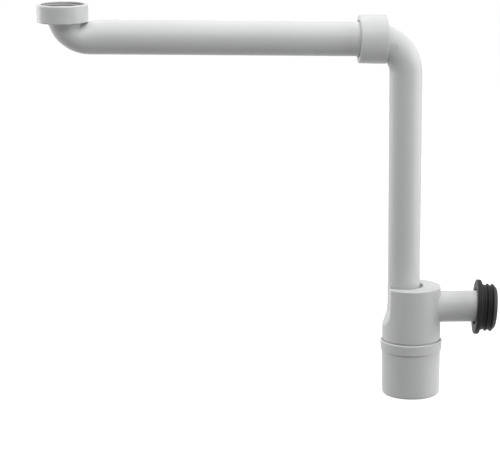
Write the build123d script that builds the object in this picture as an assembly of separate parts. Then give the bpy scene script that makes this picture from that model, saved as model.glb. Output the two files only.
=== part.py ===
from build123d import *
import os
from math import cos, pi, radians, sin, sqrt, tan

# Space saving sink trap, in millimetres. The origin is the centre of the inlet nut's mouth,
# +Z is up, and +X runs along the arm from the inlet to the drop pipe.

# Lie of the pipes
inlet_to_drop = 332.0         # inlet axis to drop pipe axis
mouth_to_arm = 31.5           # inlet nut's mouth down to the arm's axis
fall = 1.3                    # degrees that the arm and the outlet fall as the water runs
arm_to_roof = 245.8           # arm's axis at the drop pipe down to the trap's roof
trap_turn = 29.0              # degrees from +X to the front, where the trap's axis lies

# Clearances
slide_gap = 0.3               # round what slides or turns freely
seal_gap = 0.05               # a seal's lip round its pipe
seat_gap = 0.1                # a seal in its seat or groove
thread_gap = 0.3              # crest to crest, where a thread engages
overshoot = 1.0               # cuts run this far past an open end

# Inlet pipe: leg, tight bend and arm in one moulding
pipe_wall = 2.0
leg_radius = 16.0
arm_radius = 16.7
flange_thickness = 2.5
inner_corner_out = 17.5       # bend's inner corner from the leg's axis
inner_corner_up = 13.0        # the same corner above the arm's axis
outer_bend_radius = 42.0      # outer arc, tangent to the leg and to the arm's underside
bend_top = 17.5               # where the leg is round again, above the arm's axis
bend_end = 36.0               # where the arm is round again, from the leg's axis
settle = 2.0                  # round stretch that starts and ends the bend's loft
bend_steps = 5                # oval sections round the corner
rise_steps = 2                # sections between the corner and the round arm
arm_insertion = 13.0          # arm's end inside its socket

# Inlet nut and gasket
inlet_nut_radius = 24.65
inlet_nut_height = 16.0
inlet_thread_radius = 20.95
inlet_floor = 2.5
inlet_floor_gap = 2.3         # floor's hole round the leg
inlet_relief = 0.4            # bore is larger below the thread
inlet_thread_lead = 0.5       # thread ends this far above the gasket
gasket_thickness = 2.5
gasket_play = 0.65            # gasket and flange inside the thread
inlet_top_round = 1.8
inlet_bottom_round = 1.2

# Drop pipe, with the arm's socket at its upper end
drop_radius = 16.0
drop_bend = 33.5              # centre line of its bend
socket_stop = 28.0            # arm's end from the drop pipe's axis, along the arm
hub_shoulder = 3.5            # hub behind the stop
hub_wall = 3.3
mark_turn = 35.5              # moulding mark's place, in degrees round the bend from the arm
mark_radius = 3.3
mark_width = 0.9
mark_depth = 0.7
pip_radius = 0.7              # gate's pip in the middle of the mark
pip_height = 0.2
seal_depth = 3.8              # cone seat at the socket's mouth
seat_lip = 0.7                # wall left at the seat's rim
end_chamfer = 1.0

# Coupling nut, slip ring and cone seal, placed along the arm
coupling_radius = 23.25       # at its shoulder
coupling_flare = 0.4          # its mouth is larger by this
coupling_shoulder = 3.1
coupling_hole_gap = 0.7       # shoulder's hole round the arm
coupling_skirt = 7.1          # nut past the stop, over the drop pipe's bend
skirt_relief = 0.8            # bore is larger there
coupling_round = 1.4
coupling_mouth_round = 0.8
slip_ring_thickness = 1.5
seal_stand = 0.5              # cone seal proud of the socket

# Trap body
trap_radius = 29.0
trap_wall = 2.2
roof_to_foot = 60.5
roof_round = 0.8
neck_step = 2.7               # neck that hangs into the cup is this much smaller
neck_length = 11.7
neck_wall = 2.0
recess_radius = 19.3          # well round the drop pipe
roof_rim = 1.5                # narrowest roof between the well and the drum's edge
recess_depth = 20.0
socket_depth = 39.0           # well's floor down to the ledge that the drop pipe rests on
groove_below = 17.0           # seal's groove below the well's floor
groove_height = 6.0
groove_depth = 2.2            # groove's radius past the drop pipe's
lip_height = 2.0              # seal's lip, and how far it slopes down to the pipe
lip_droop = 1.0
dip_bore = 13.7
dip_wall = 2.0
dip_length = 31.0             # dip tube below the ledge
trim_left = 16.9              # flat that cuts the body's side, from the drop pipe's axis
trim_depth = 21.0             # roof down to where the flat starts to flare
flare_radius = 28.0
trim_round = 0.8              # edges of the flat and of its flare

# Outlet spigot
outlet_below = 20.9           # roof down to the outlet's axis, at the trap's axis
outlet_radius = 15.5
outlet_wall = 2.0
outlet_length = 84.2          # trap's axis to the spigot's end
bore_start = 20.0             # outlet's bore starts inside the chamber

# Rubber sleeve on the outlet
sleeve_grip = 18.0            # length of spigot inside the sleeve
flange_radius = 27.2
flange_width = 4.4
flange_near_round = 1.0
flange_far_round = 1.4
shoulder_radius = 22.9
shoulder_rise = 1.0           # lengths of the slopes up to the flange and down to the barrel
shoulder_fall = 0.8
shoulder_end = 7.0            # the sleeve's own lengths run from the flange's near face
barrel_radius = 22.2
fin_radius = 23.6
fin_count = 2
first_fin = 10.6
fin_pitch = 5.0
fin_land = 1.0
fin_slope = 1.2
nose_radius = 19.6
nose_round = 1.0
throat_radius = 17.3          # open ring round the spigot at the flange
throat_depth = 4.0
nose_lip = 2.2                # lip that the spigot's end stops against

# Cup and its seal
cup_seal_thickness = 2.0
cup_seal_gap = 0.5            # seal round the neck
collar_wall = 1.3
collar_lap = 7.3              # collar above the body's foot
collar_height = 10.6
collar_taper = 0.35
collar_gap = 0.35             # collar's bore round the body
collar_round = 0.8
collar_top_round = 0.5
cup_inset = 0.1               # cup's top, below the collar, inside the drum's radius
cup_draft = 0.6               # cup is smaller at its foot by this
cup_bore_draft = 0.5
cup_depth = 49.7              # body's foot down to the cup's underside
cup_floor = 2.5
cup_foot_round = 3.0
cup_inner_round = 2.0

# Heights and lines that follow from the sizes
crossing_z = -mouth_to_arm - inlet_to_drop * tan(radians(fall))
roof_z = crossing_z - arm_to_roof
trap_offset = trap_radius - recess_radius - roof_rim
trap_right = trap_offset * cos(radians(trap_turn))
trap_front = trap_offset * sin(radians(trap_turn))
neck_radius = trap_radius - neck_step
sleeve_start = outlet_length - sleeve_grip
well_floor_z = roof_z - recess_depth
ledge_z = well_floor_z - socket_depth
foot_z = roof_z - roof_to_foot
seat_z = foot_z - cup_seal_thickness
outlet_z = roof_z - outlet_below
flange_z = -inlet_nut_height + inlet_floor

drop_line = Pos(inlet_to_drop, 0, 0)
trap_line = Pos(inlet_to_drop + trap_right, -trap_front, 0)
arm_line = Plane(
    origin=(inlet_to_drop, 0, crossing_z),
    x_dir=(0, 1, 0),
    z_dir=(-cos(radians(fall)), 0, sin(radians(fall))),
)
outlet_line = Plane(
    origin=(inlet_to_drop + trap_right, -trap_front, outlet_z),
    x_dir=(0, 1, 0),
    z_dir=(cos(radians(fall)), 0, -sin(radians(fall))),
)

# Places along the arm's axis, measured from the drop pipe's axis
socket_bore = arm_radius + slide_gap
hub_radius = socket_bore + hub_wall
socket_mouth = socket_stop + arm_insertion
seal_end = socket_mouth + seal_stand
slip_ring_end = seal_end + slip_ring_thickness
coupling_end = slip_ring_end + coupling_shoulder
coupling_start = socket_stop - coupling_skirt


def turned(*corners):
    """Solid of revolution about Z from (radius, height) corners, with an optional rounding."""
    section = make_face(Polyline(*[(corner[0], corner[1]) for corner in corners], close=True))
    for corner in corners:
        if len(corner) == 3:
            place = Vector(corner[0], corner[1])
            section = fillet(section.vertices().sort_by_distance(place)[0], corner[2])
    return revolve(Plane.XZ * section, Axis.Z)


def rod(radius, low, high):
    """Cylinder about Z between two heights."""
    return turned((0, low), (radius, low), (radius, high), (0, high))


def ring(inner, outer, low, high):
    """Tube or washer about Z between two heights."""
    return turned((inner, low), (outer, low), (outer, high), (inner, high))


def arm_height(distance, offset):
    """Height of a line offset above the arm's axis, at a distance from the leg's axis."""
    slope = radians(fall)
    return offset / cos(slope) - distance * tan(slope)


def outer_bend_centre():
    """Centre of the arc that meets the leg's outer side and the arm's underside."""
    across = outer_bend_radius - leg_radius
    return Vector(across, arm_height(across, outer_bend_radius - arm_radius))


def outer_reach(start, direction):
    """Distance from a point inside the bend to its outer arc, along a direction in the XZ plane."""
    from_centre = start - outer_bend_centre()
    along = from_centre.dot(direction)
    return -along + sqrt(along**2 - from_centre.dot(from_centre) + outer_bend_radius**2)


def oval_section(inner, outer, half_width, skin):
    """Oval across the pipe between two points of the XZ plane, moved inwards by skin."""
    middle = (inner + outer) / 2
    direction = (outer - inner).normalized()
    plane = Plane(
        origin=(middle.X, 0, middle.Y - mouth_to_arm),
        x_dir=(direction.X, 0, direction.Y),
        z_dir=(-direction.Y, 0, direction.X),
    )
    return plane * Ellipse((outer - inner).length / 2 - skin, half_width - skin)


def corner_section(share, skin):
    """Oval hinged on the bend's inner corner; share runs from 0 at the leg to 1 at the arm."""
    turn = radians(180 + (90 - fall) * share)
    direction = Vector(cos(turn), sin(turn))
    corner = Vector(inner_corner_out, inner_corner_up)
    outer = corner + direction * outer_reach(corner, direction)
    half_width = leg_radius + (arm_radius - leg_radius) * share
    return oval_section(corner, outer, half_width, skin)


def rise_section(share, skin):
    """Oval between the corner and the round arm, whose top rises in an even curve."""
    distance = inner_corner_out + (bend_end - inner_corner_out) * share
    lift = (1 - cos(pi * share)) / 2
    top = inner_corner_up + (arm_height(distance, arm_radius) - inner_corner_up) * lift
    slope = radians(fall)
    inner = Vector(distance, top)
    down = Vector(-sin(slope), -cos(slope))
    if distance < outer_bend_centre().X:
        outer = inner + down * outer_reach(inner, down)
    else:
        outer = inner + down * (top - arm_height(distance, -arm_radius)) * cos(slope)
    return oval_section(inner, outer, arm_radius, skin)


def arm_section(distance, radius):
    """Circle across the arm at a distance from the leg's axis."""
    slope = radians(fall)
    plane = Plane(
        origin=(distance, 0, arm_height(distance, 0) - mouth_to_arm),
        x_dir=(-sin(slope), 0, -cos(slope)),
        z_dir=(cos(slope), 0, -sin(slope)),
    )
    return plane * Circle(radius)


def leg_section(height, radius):
    """Circle across the leg at a height above the arm's axis."""
    plane = Plane(origin=(0, 0, height - mouth_to_arm), x_dir=(-1, 0, 0), z_dir=(0, 0, -1))
    return plane * Circle(radius)


def inlet_bend(skin):
    """Loft from the round leg round the tight corner to the round arm, moved inwards by skin."""
    leg = leg_radius - skin
    arm = arm_radius - skin
    sections = [leg_section(bend_top + settle, leg), leg_section(bend_top, leg)]
    sections += [corner_section(step / (bend_steps - 1), skin) for step in range(bend_steps)]
    sections += [rise_section(step / (rise_steps + 1), skin) for step in range(1, rise_steps + 1)]
    sections += [arm_section(bend_end, arm), arm_section(bend_end + settle, arm)]
    return loft(sections)


def inlet_pipe():
    """Leg with its sealing flange, tight bend and long arm."""
    bore = leg_radius - pipe_wall
    arm_length = (inlet_to_drop - bend_end - settle) / cos(radians(fall))
    arm = arm_line * ring(arm_radius - pipe_wall, arm_radius, socket_stop, arm_length)
    flange_top = flange_z + flange_thickness
    leg_end = bend_top + settle - mouth_to_arm
    middle = leg_radius - pipe_wall / 2
    flange = turned(
        (middle, flange_z),
        (inlet_thread_radius - gasket_play, flange_z),
        (inlet_thread_radius - gasket_play, flange_top),
        (bore, flange_top),
        (bore, leg_end),
        (middle, leg_end),
    )
    return inlet_bend(0) - inlet_bend(pipe_wall) + arm + flange


def inlet_gasket():
    """Flat rubber washer on the leg's flange."""
    base = flange_z + flange_thickness
    outer = inlet_thread_radius - gasket_play
    return ring(leg_radius - pipe_wall, outer, base, base + gasket_thickness)


def inlet_nut():
    """Nut that hangs on the leg's flange and screws on to the basin's waste."""
    hole = leg_radius + inlet_floor_gap
    relief = inlet_thread_radius + inlet_relief
    thread_end = flange_z + flange_thickness + gasket_thickness + inlet_thread_lead
    return turned(
        (inlet_thread_radius, 0),
        (inlet_nut_radius, 0, inlet_top_round),
        (inlet_nut_radius, -inlet_nut_height, inlet_bottom_round),
        (hole, -inlet_nut_height),
        (hole, flange_z),
        (relief, flange_z),
        (relief, thread_end),
        (inlet_thread_radius, thread_end),
    )


def drop_bend_way(radius):
    """Quarter bend between the drop pipe and the arm's line, as one solid."""
    rise = drop_bend * tan(radians((90 - fall) / 2))
    top = crossing_z - rise
    ring = Pos(inlet_to_drop, 0, top) * Circle(radius)
    centre = Axis((inlet_to_drop - drop_bend, 0, top), (0, -1, 0))
    return revolve(ring, centre, 90 - fall), top


def moulding_mark():
    """Groove of the round mark on the front of the drop pipe's bend, and the pip inside it."""
    turn = radians(90 - fall - mark_turn)
    rise = drop_bend * tan(radians((90 - fall) / 2))
    x = inlet_to_drop - drop_bend + drop_bend * cos(turn)
    z = crossing_z - rise + drop_bend * sin(turn)
    front = Plane(origin=(x, -drop_radius, z), x_dir=(1, 0, 0), z_dir=(0, 1, 0))
    groove = front * ring(mark_radius - mark_width, mark_radius, -overshoot, mark_depth)
    return groove, front * rod(pip_radius, -pip_height, pipe_wall / 2)


def drop_pipe():
    """Drop pipe with its bend and the threaded hub that takes the arm."""
    bend, bend_low = drop_bend_way(drop_radius)
    bend_bore, _ = drop_bend_way(drop_radius - pipe_wall)
    stem = drop_line * turned(
        (0, ledge_z),
        (drop_radius - end_chamfer, ledge_z),
        (drop_radius, ledge_z + end_chamfer),
        (drop_radius, bend_low),
        (0, bend_low),
    )
    hub_back = socket_stop - hub_shoulder
    hub = arm_line * turned(
        (0, hub_back),
        (drop_radius, hub_back),
        (hub_radius, hub_back + end_chamfer),
        (hub_radius, socket_mouth),
        (0, socket_mouth),
    )
    socket = arm_line * turned(
        (0, socket_stop),
        (socket_bore, socket_stop),
        (socket_bore, socket_mouth - seal_depth),
        (hub_radius - seat_lip, socket_mouth),
        (hub_radius - seat_lip, socket_mouth + overshoot),
        (0, socket_mouth + overshoot),
    )
    stem_bore = drop_line * rod(drop_radius - pipe_wall, ledge_z - overshoot, bend_low)
    groove, pip = moulding_mark()
    return stem + bend + hub - socket - bend_bore - stem_bore - groove + pip


def coupling_seal():
    """Cone of rubber that the slip ring presses into the socket's mouth."""
    inner = arm_radius + seal_gap
    small = socket_bore - seat_gap
    large = hub_radius - seat_lip - seat_gap
    tip = socket_mouth - seal_depth + seat_gap
    return arm_line * turned(
        (inner, tip),
        (small, tip),
        (large, socket_mouth + seat_gap),
        (large, seal_end),
        (inner, seal_end),
    )


def coupling_slip_ring():
    """Washer between the cone seal and the nut's shoulder."""
    inner = arm_radius + slide_gap
    return arm_line * ring(inner, hub_radius, seal_end, slip_ring_end)


def coupling_nut():
    """Nut that clamps the arm in the drop pipe's socket."""
    hole = arm_radius + coupling_hole_gap
    bore = hub_radius + thread_gap
    relief = bore + skirt_relief
    relief_end = socket_stop - hub_shoulder
    return arm_line * turned(
        (relief, coupling_start),
        (coupling_radius + coupling_flare, coupling_start, coupling_mouth_round),
        (coupling_radius, coupling_end, coupling_round),
        (hole, coupling_end),
        (hole, slip_ring_end),
        (bore, slip_ring_end),
        (bore, relief_end),
        (relief, relief_end),
    )


def side_trim(skin):
    """What the flat and its flare take off the body's side, moved inwards by skin."""
    flare_z = roof_z - trim_depth
    edge = inlet_to_drop - trim_left + skin
    reach = 2 * trap_radius
    slab = Pos(edge - reach / 2, 0, flare_z + reach / 2) * Box(reach, 2 * reach, reach)
    scoop = Cylinder(flare_radius + skin, 2 * reach, rotation=(90, 0, 0))
    return slab + Pos(inlet_to_drop - trim_left - flare_radius, 0, flare_z) * scoop


def trap_envelope():
    """Outside of the body, with its flat side and the neck that hangs into the cup.

    The rounding of the flat's top edge runs on down its sides and round the flare.
    """
    drum = trap_line * turned(
        (0, roof_z),
        (trap_radius, roof_z, roof_round),
        (trap_radius, foot_z),
        (neck_radius, foot_z),
        (neck_radius, foot_z - neck_length),
        (0, foot_z - neck_length),
    )
    trimmed = drum - side_trim(0)
    flat_top = trimmed.edges().filter_by(GeomType.LINE).sort_by(Axis.Z)[-1]
    return fillet(flat_top, trim_round)


def inner_column():
    """Outside of the well, the drop pipe's socket and the dip tube, round the drop pipe's axis."""
    well = recess_radius + dip_wall
    socket = drop_radius + groove_depth + dip_wall
    tube = dip_bore + dip_wall
    return drop_line * turned(
        (0, roof_z),
        (well, roof_z),
        (well, well_floor_z - dip_wall),
        (socket, well_floor_z - dip_wall),
        (socket, ledge_z - dip_wall),
        (tube, ledge_z - dip_wall),
        (tube, ledge_z - dip_length),
        (0, ledge_z - dip_length),
    )


def column_bore():
    """Well, socket, seal groove and dip bore, round the drop pipe's axis."""
    socket = drop_radius + slide_gap
    groove = drop_radius + groove_depth
    groove_top = well_floor_z - groove_below
    groove_low = groove_top - groove_height
    return drop_line * turned(
        (0, roof_z + overshoot),
        (recess_radius, roof_z + overshoot),
        (recess_radius, well_floor_z),
        (socket, well_floor_z),
        (socket, groove_top),
        (groove, groove_top),
        (groove, groove_low),
        (socket, groove_low),
        (socket, ledge_z),
        (dip_bore, ledge_z),
        (dip_bore, ledge_z - dip_length - overshoot),
        (0, ledge_z - dip_length - overshoot),
    )


def chamber():
    """Water space inside the body, outside the inner column."""
    neck_bore = neck_radius - neck_wall
    drum = trap_line * turned(
        (0, roof_z - trap_wall),
        (trap_radius - trap_wall, roof_z - trap_wall),
        (trap_radius - trap_wall, foot_z + trap_wall),
        (neck_bore, foot_z),
        (neck_bore, foot_z - neck_length - overshoot),
        (0, foot_z - neck_length - overshoot),
    )
    return drum - side_trim(trap_wall) - inner_column()


def trap_body():
    """Body with its roof, well, socket, dip tube, chamber and outlet spigot, one moulding."""
    spigot = outlet_line * rod(outlet_radius, 0, outlet_length)
    bore = outlet_line * rod(outlet_radius - outlet_wall, bore_start, outlet_length + overshoot)
    dip_tube = drop_line * rod(dip_bore + dip_wall, ledge_z - dip_length, ledge_z - dip_wall)
    return trap_envelope() + spigot - chamber() + dip_tube - bore - column_bore()


def socket_seal():
    """Lip ring in the socket's groove, round the drop pipe."""
    outer = drop_radius + groove_depth - seat_gap
    lip = drop_radius + seal_gap
    top = well_floor_z - groove_below - seat_gap
    low = top - groove_height + 2 * seat_gap
    web = (lip + outer) / 2
    return drop_line * turned(
        (outer, top),
        (outer, low),
        (web, low),
        (web, top - lip_height),
        (lip, top - lip_height - lip_droop),
        (lip, top - lip_droop),
        (web, top),
    )


def outlet_sleeve():
    """Finned rubber sleeve that seals the spigot into the wall's waste pipe."""
    fins = []
    for number in range(fin_count):
        start = first_fin + number * fin_pitch
        fins += [(barrel_radius, start - fin_slope), (fin_radius, start), (fin_radius, start + fin_land)]
        fins += [(barrel_radius, start + fin_land + fin_slope)]
    fins.pop()
    nose = sleeve_grip + nose_lip
    sleeve = turned(
        (throat_radius, 0),
        (flange_radius, 0, flange_near_round),
        (flange_radius, flange_width, flange_far_round),
        (shoulder_radius, flange_width + shoulder_rise),
        (shoulder_radius, shoulder_end),
        (barrel_radius, shoulder_end + shoulder_fall),
        *fins,
        (nose_radius, nose, nose_round),
        (outlet_radius - outlet_wall, nose),
        (outlet_radius - outlet_wall, sleeve_grip),
        (outlet_radius, sleeve_grip),
        (outlet_radius, throat_depth),
        (throat_radius, throat_depth),
    )
    return outlet_line * (Pos(0, 0, sleeve_start) * sleeve)


def cup():
    """Screw-on cup with its thick collar."""
    collar_top = foot_z + collar_lap
    collar_low = collar_top - collar_height
    underside = foot_z - cup_depth
    cup_bore = neck_radius + slide_gap
    collar_bore = trap_radius + collar_gap
    collar_radius = collar_bore + collar_wall
    cup_top_radius = trap_radius - cup_inset
    return trap_line * turned(
        (0, underside),
        (cup_top_radius - cup_draft, underside, cup_foot_round),
        (cup_top_radius, collar_low),
        (collar_radius - collar_taper, collar_low, collar_round),
        (collar_radius, collar_top, collar_top_round),
        (collar_bore, collar_top),
        (collar_bore, seat_z),
        (cup_bore, seat_z),
        (cup_bore - cup_bore_draft, underside + cup_floor, cup_inner_round),
        (0, underside + cup_floor),
    )


def cup_seal():
    """Flat rubber ring between the cup's seat and the body's foot."""
    inner = neck_radius + cup_seal_gap
    outer = trap_radius + collar_gap - slide_gap
    return trap_line * ring(inner, outer, seat_z, foot_z)


pieces = {
    "inlet_nut": inlet_nut,
    "inlet_gasket": inlet_gasket,
    "inlet_pipe": inlet_pipe,
    "coupling_nut": coupling_nut,
    "coupling_slip_ring": coupling_slip_ring,
    "coupling_seal": coupling_seal,
    "drop_pipe": drop_pipe,
    "trap_body": trap_body,
    "socket_seal": socket_seal,
    "outlet_sleeve": outlet_sleeve,
    "cup": cup,
    "cup_seal": cup_seal,
}

os.makedirs("parts", exist_ok=True)
for name, build in pieces.items():
    export_step(build(), f"parts/{name}.step")
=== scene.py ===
"""Looks of the space saving sink trap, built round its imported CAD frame.

Sizes are in millimetres in the frame's axes: the origin is the middle of the inlet nut's mouth,
+Z is up and +X runs along the arm to the drop pipe. Meshes are made in metres.
"""

import logging
import math
from dataclasses import dataclass, field
from enum import Enum

import bpy
import numpy as np
from mathutils import Matrix, Vector

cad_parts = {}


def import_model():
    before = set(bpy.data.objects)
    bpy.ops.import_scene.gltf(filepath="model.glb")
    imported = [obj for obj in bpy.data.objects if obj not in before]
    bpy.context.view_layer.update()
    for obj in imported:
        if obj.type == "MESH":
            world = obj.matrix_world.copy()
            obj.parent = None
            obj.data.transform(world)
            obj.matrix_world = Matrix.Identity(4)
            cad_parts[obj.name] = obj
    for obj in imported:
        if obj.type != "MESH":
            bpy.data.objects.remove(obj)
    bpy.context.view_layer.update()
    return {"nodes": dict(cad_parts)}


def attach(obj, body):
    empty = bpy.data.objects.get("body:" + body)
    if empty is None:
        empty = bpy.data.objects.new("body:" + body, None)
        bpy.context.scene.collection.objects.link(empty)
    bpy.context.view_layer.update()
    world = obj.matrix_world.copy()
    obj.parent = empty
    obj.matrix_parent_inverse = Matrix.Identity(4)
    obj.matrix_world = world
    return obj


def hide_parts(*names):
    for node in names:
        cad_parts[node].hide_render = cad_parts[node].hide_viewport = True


MM = 0.001
RENDER_WIDTH = 500
RENDER_HEIGHT = 454

FACET = 0.3
"""Longest arc between two rings of a rounded corner, in millimetres."""
FEWEST_STEPS, MOST_STEPS = 3, 14
"""Steps that a rounded corner may have."""
WAY_SHARE = 0.45
"""Most of a way that the rounding at one of its ends takes up."""
STRAIGHT = 1e-4
"""Turn, in radians, under which a corner counts as straight."""
RUNOUT = 0.12
"""Share of a threaded way over which its thread fades in, and out again."""
UNMOVED = 1e-9
"""Distance under which a flat hasn't moved a point."""
SLEEVE_SUNK = 0.02
"""Depth of a male thread's sleeve under the skin that the thread stands out of."""
SLEEVE_WALL = 0.6
"""Depth of that sleeve's bore under the same skin."""

log = logging.getLogger("sink_trap")


class Rides(Enum):
    """CAD bodies that the pieces of the scene move with."""

    TRAP = "trap"
    SOCKET_RING = "socket_ring"
    DROP = "drop"
    ARM_RING = "arm_ring"
    ARM = "arm"
    SLIP_RING = "slip_ring"
    COUPLING = "coupling"
    INLET_UNION = "inlet_union"
    CUP_RING = "cup_ring"
    BOTTOM_CUP = "bottom_cup"


class Slot(Enum):
    """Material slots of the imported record."""

    NUT = "nut_plastic"
    PIPE = "pipe_plastic"
    BODY = "body_plastic"
    CUP = "cup_plastic"
    RING = "ring_plastic"
    SEAL = "black_rubber"
    SLEEVE = "sleeve_rubber"


def linear(hex_colour: str) -> tuple[float, float, float, float]:
    """Turns an sRGB hex colour into linear light.

    Args:
        hex_colour: Colour as "#RRGGBB".

    Returns:
        Red, green, blue and an alpha of 1.
    """
    parts = [int(hex_colour[start : start + 2], 16) / 255 for start in (1, 3, 5)]
    light = [c / 12.92 if c <= 0.04045 else ((c + 0.055) / 1.055) ** 2.4 for c in parts]
    return light[0], light[1], light[2], 1.0


def add(
    tree: bpy.types.NodeTree,
    kind: str,
    values: dict | None = None,
    links: dict | None = None,
    **settings: object,
) -> bpy.types.Node:
    """Adds a node with its settings, constants and links.

    Args:
        tree: Node tree that gets the node.
        kind: Type name of the node.
        values: Constant for each input, by the input's name or number.
        links: Output socket that feeds each input, by the input's name or number.
        settings: Properties of the node itself.

    Returns:
        The new node.
    """
    node = tree.nodes.new(kind)
    for name, value in settings.items():
        setattr(node, name, value)
    for key, value in (values or {}).items():
        node.inputs[key].default_value = value
    for key, socket in (links or {}).items():
        tree.links.new(socket, node.inputs[key])
    return node


def per_metre(size_mm: float) -> float:
    """Returns the pattern scale that repeats once in a length given in millimetres."""
    return 1 / (size_mm * MM)


@dataclass(frozen=True)
class MouldedFinish:
    """Skin of a moulded piece, which the plastic and the rubber have in common.

    Attributes:
        name: Name of the material.
        roughness: Middle roughness of the skin.
        spread: How far the roughness strays from the middle.
        ior: Index of refraction.
        reflection: Specular level.
        grain_mm: Size of the grain.
        grain_height_mm: Height of the grain.
        grain_detail: Octaves of the grain.
        grain_softness: Share of its height that each octave keeps.
        grain_strength: Share of the grain's tilt that the normals take.
    """

    name: str
    roughness: float = 0.4
    spread: float = 0.05
    ior: float = 1.49
    reflection: float = 0.5
    grain_mm: float = 0.9
    grain_height_mm: float = 0.010
    grain_detail: float = 1.0
    grain_softness: float = 0.4
    grain_strength: float = 0.6

    def pattern(
        self, tree: bpy.types.NodeTree, place: bpy.types.NodeSocket
    ) -> tuple[bpy.types.NodeSocket, bpy.types.NodeSocket]:
        """Adds the nodes that colour the skin.

        Args:
            tree: Node tree of the material.
            place: Socket that gives the object's own coordinates.

        Returns:
            Sockets of the colour and of the noise that the shine follows.
        """
        raise NotImplementedError

    def material(self) -> bpy.types.Material:
        """Makes the material.

        Returns:
            Material with its nodes.
        """
        made = bpy.data.materials.new(self.name)
        made.use_nodes = True
        tree = made.node_tree
        tree.nodes.clear()
        place = add(tree, "ShaderNodeTexCoord").outputs["Object"]
        tone, patches = self.pattern(tree, place)
        shine = add(
            tree,
            "ShaderNodeMapRange",
            {
                "To Min": self.roughness - self.spread,
                "To Max": self.roughness + self.spread,
            },
            {"Value": patches},
        )
        grain = add(
            tree,
            "ShaderNodeTexNoise",
            {
                "Scale": per_metre(self.grain_mm),
                "Detail": self.grain_detail,
                "Roughness": self.grain_softness,
            },
            {"Vector": place},
        )
        bump = add(
            tree,
            "ShaderNodeBump",
            {"Strength": self.grain_strength, "Distance": self.grain_height_mm * MM},
            {"Height": grain.outputs["Fac"]},
        )
        skin = add(
            tree,
            "ShaderNodeBsdfPrincipled",
            {"IOR": self.ior, "Specular IOR Level": self.reflection},
            {
                "Base Color": tone,
                "Roughness": shine.outputs["Result"],
                "Normal": bump.outputs["Normal"],
            },
        )
        add(tree, "ShaderNodeOutputMaterial", links={"Surface": skin.outputs["BSDF"]})
        return made


@dataclass(frozen=True)
class MouldedPlastic(MouldedFinish):
    """Injection moulded polypropylene, light grey.

    The eye sees an even, neutral tone with a satin shine, faint clouds where the melt cooled at
    different rates, and a very fine grain from the spark-eroded mould. The real grain, about
    0.1 mm, is too fine to show, so it is drawn at 0.9 mm.

    Attributes:
        light: Colour of the lighter clouds.
        dark: Colour of the darker clouds.
        cloud_mm: Size of the clouds.
        patch_mm: Size of the patches of shine.
    """

    light: str = "#E6E7E7"
    dark: str = "#E0E1E1"
    cloud_mm: float = 26.0
    patch_mm: float = 6.5

    def pattern(
        self, tree: bpy.types.NodeTree, place: bpy.types.NodeSocket
    ) -> tuple[bpy.types.NodeSocket, bpy.types.NodeSocket]:
        """Adds the clouds and the patches of shine.

        Args:
            tree: Node tree of the material.
            place: Socket that gives the object's own coordinates.

        Returns:
            Sockets of the colour and of the noise that the shine follows.
        """
        clouds = add(
            tree,
            "ShaderNodeTexNoise",
            {"Scale": per_metre(self.cloud_mm), "Detail": 3.0, "Roughness": 0.5},
            {"Vector": place},
        )
        tone = add(
            tree,
            "ShaderNodeMix",
            {6: linear(self.dark), 7: linear(self.light)},
            {0: clouds.outputs["Fac"]},
            data_type="RGBA",
        )
        patches = add(
            tree,
            "ShaderNodeTexNoise",
            {"Scale": per_metre(self.patch_mm), "Detail": 2.0},
            {"Vector": place},
        )
        return tone.outputs[2], patches.outputs["Fac"]


@dataclass(frozen=True)
class MouldedRubber(MouldedFinish):
    """Compression moulded EPDM rubber, black.

    The eye sees near black with a soft shine on the ribs, and a skin that is duller in patches.
    Grey streaks that run round the piece are painted sheen: lighter colour in place of
    highlights.
    Its specular level is low, because the talc on the skin scatters its shine.

    Attributes:
        black: Colour of the clean rubber.
        painted_sheen_grey: Colour of the painted sheen streaks.
        painted_sheen_share: Most of the painted sheen colour that is mixed in.
        tilt: Radians that the streaks' axis is turned from Z about Y.
        streak_mm: Width of a streak.
        streak_stretch: Width of a streak as a share of its length round the piece.
        painted_sheen_start: Height of the streaks' noise where the painted sheen starts.
        painted_sheen_full: Height of that noise where the painted sheen is at its most.
    """

    roughness: float = 0.5
    spread: float = 0.1
    ior: float = 1.52
    reflection: float = 0.22
    grain_mm: float = 0.8
    grain_height_mm: float = 0.012
    grain_detail: float = 2.0
    grain_softness: float = 0.5
    black: str = "#050506"
    painted_sheen_grey: str = "#18181A"
    painted_sheen_share: float = 0.5
    tilt: float = 0.0
    streak_mm: float = 1.4
    streak_stretch: float = 0.06
    painted_sheen_start: float = 0.45
    painted_sheen_full: float = 0.8

    def pattern(
        self, tree: bpy.types.NodeTree, place: bpy.types.NodeSocket
    ) -> tuple[bpy.types.NodeSocket, bpy.types.NodeSocket]:
        """Adds the streaks of painted sheen.

        Args:
            tree: Node tree of the material.
            place: Socket that gives the object's own coordinates.

        Returns:
            Sockets of the colour and of the noise that the shine follows.
        """
        turned = add(
            tree,
            "ShaderNodeMapping",
            {"Rotation": (0.0, -self.tilt, 0.0)},
            {"Vector": place},
        )
        drawn = add(
            tree,
            "ShaderNodeMapping",
            {"Scale": (self.streak_stretch, self.streak_stretch, 1.0)},
            {"Vector": turned.outputs["Vector"]},
        )
        streaks = add(
            tree,
            "ShaderNodeTexNoise",
            {"Scale": per_metre(self.streak_mm), "Detail": 3.0, "Roughness": 0.6},
            {"Vector": drawn.outputs["Vector"]},
        )
        share = add(
            tree,
            "ShaderNodeMapRange",
            {
                "From Min": self.painted_sheen_start,
                "From Max": self.painted_sheen_full,
                "To Max": self.painted_sheen_share,
            },
            {"Value": streaks.outputs["Fac"]},
        )
        # Painted sheen: grey streaks mixed into the black, standing in for highlights.
        tone = add(
            tree,
            "ShaderNodeMix",
            {6: linear(self.black), 7: linear(self.painted_sheen_grey)},
            {0: share.outputs["Result"]},
            data_type="RGBA",
        )
        return tone.outputs[2], streaks.outputs["Fac"]


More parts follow.
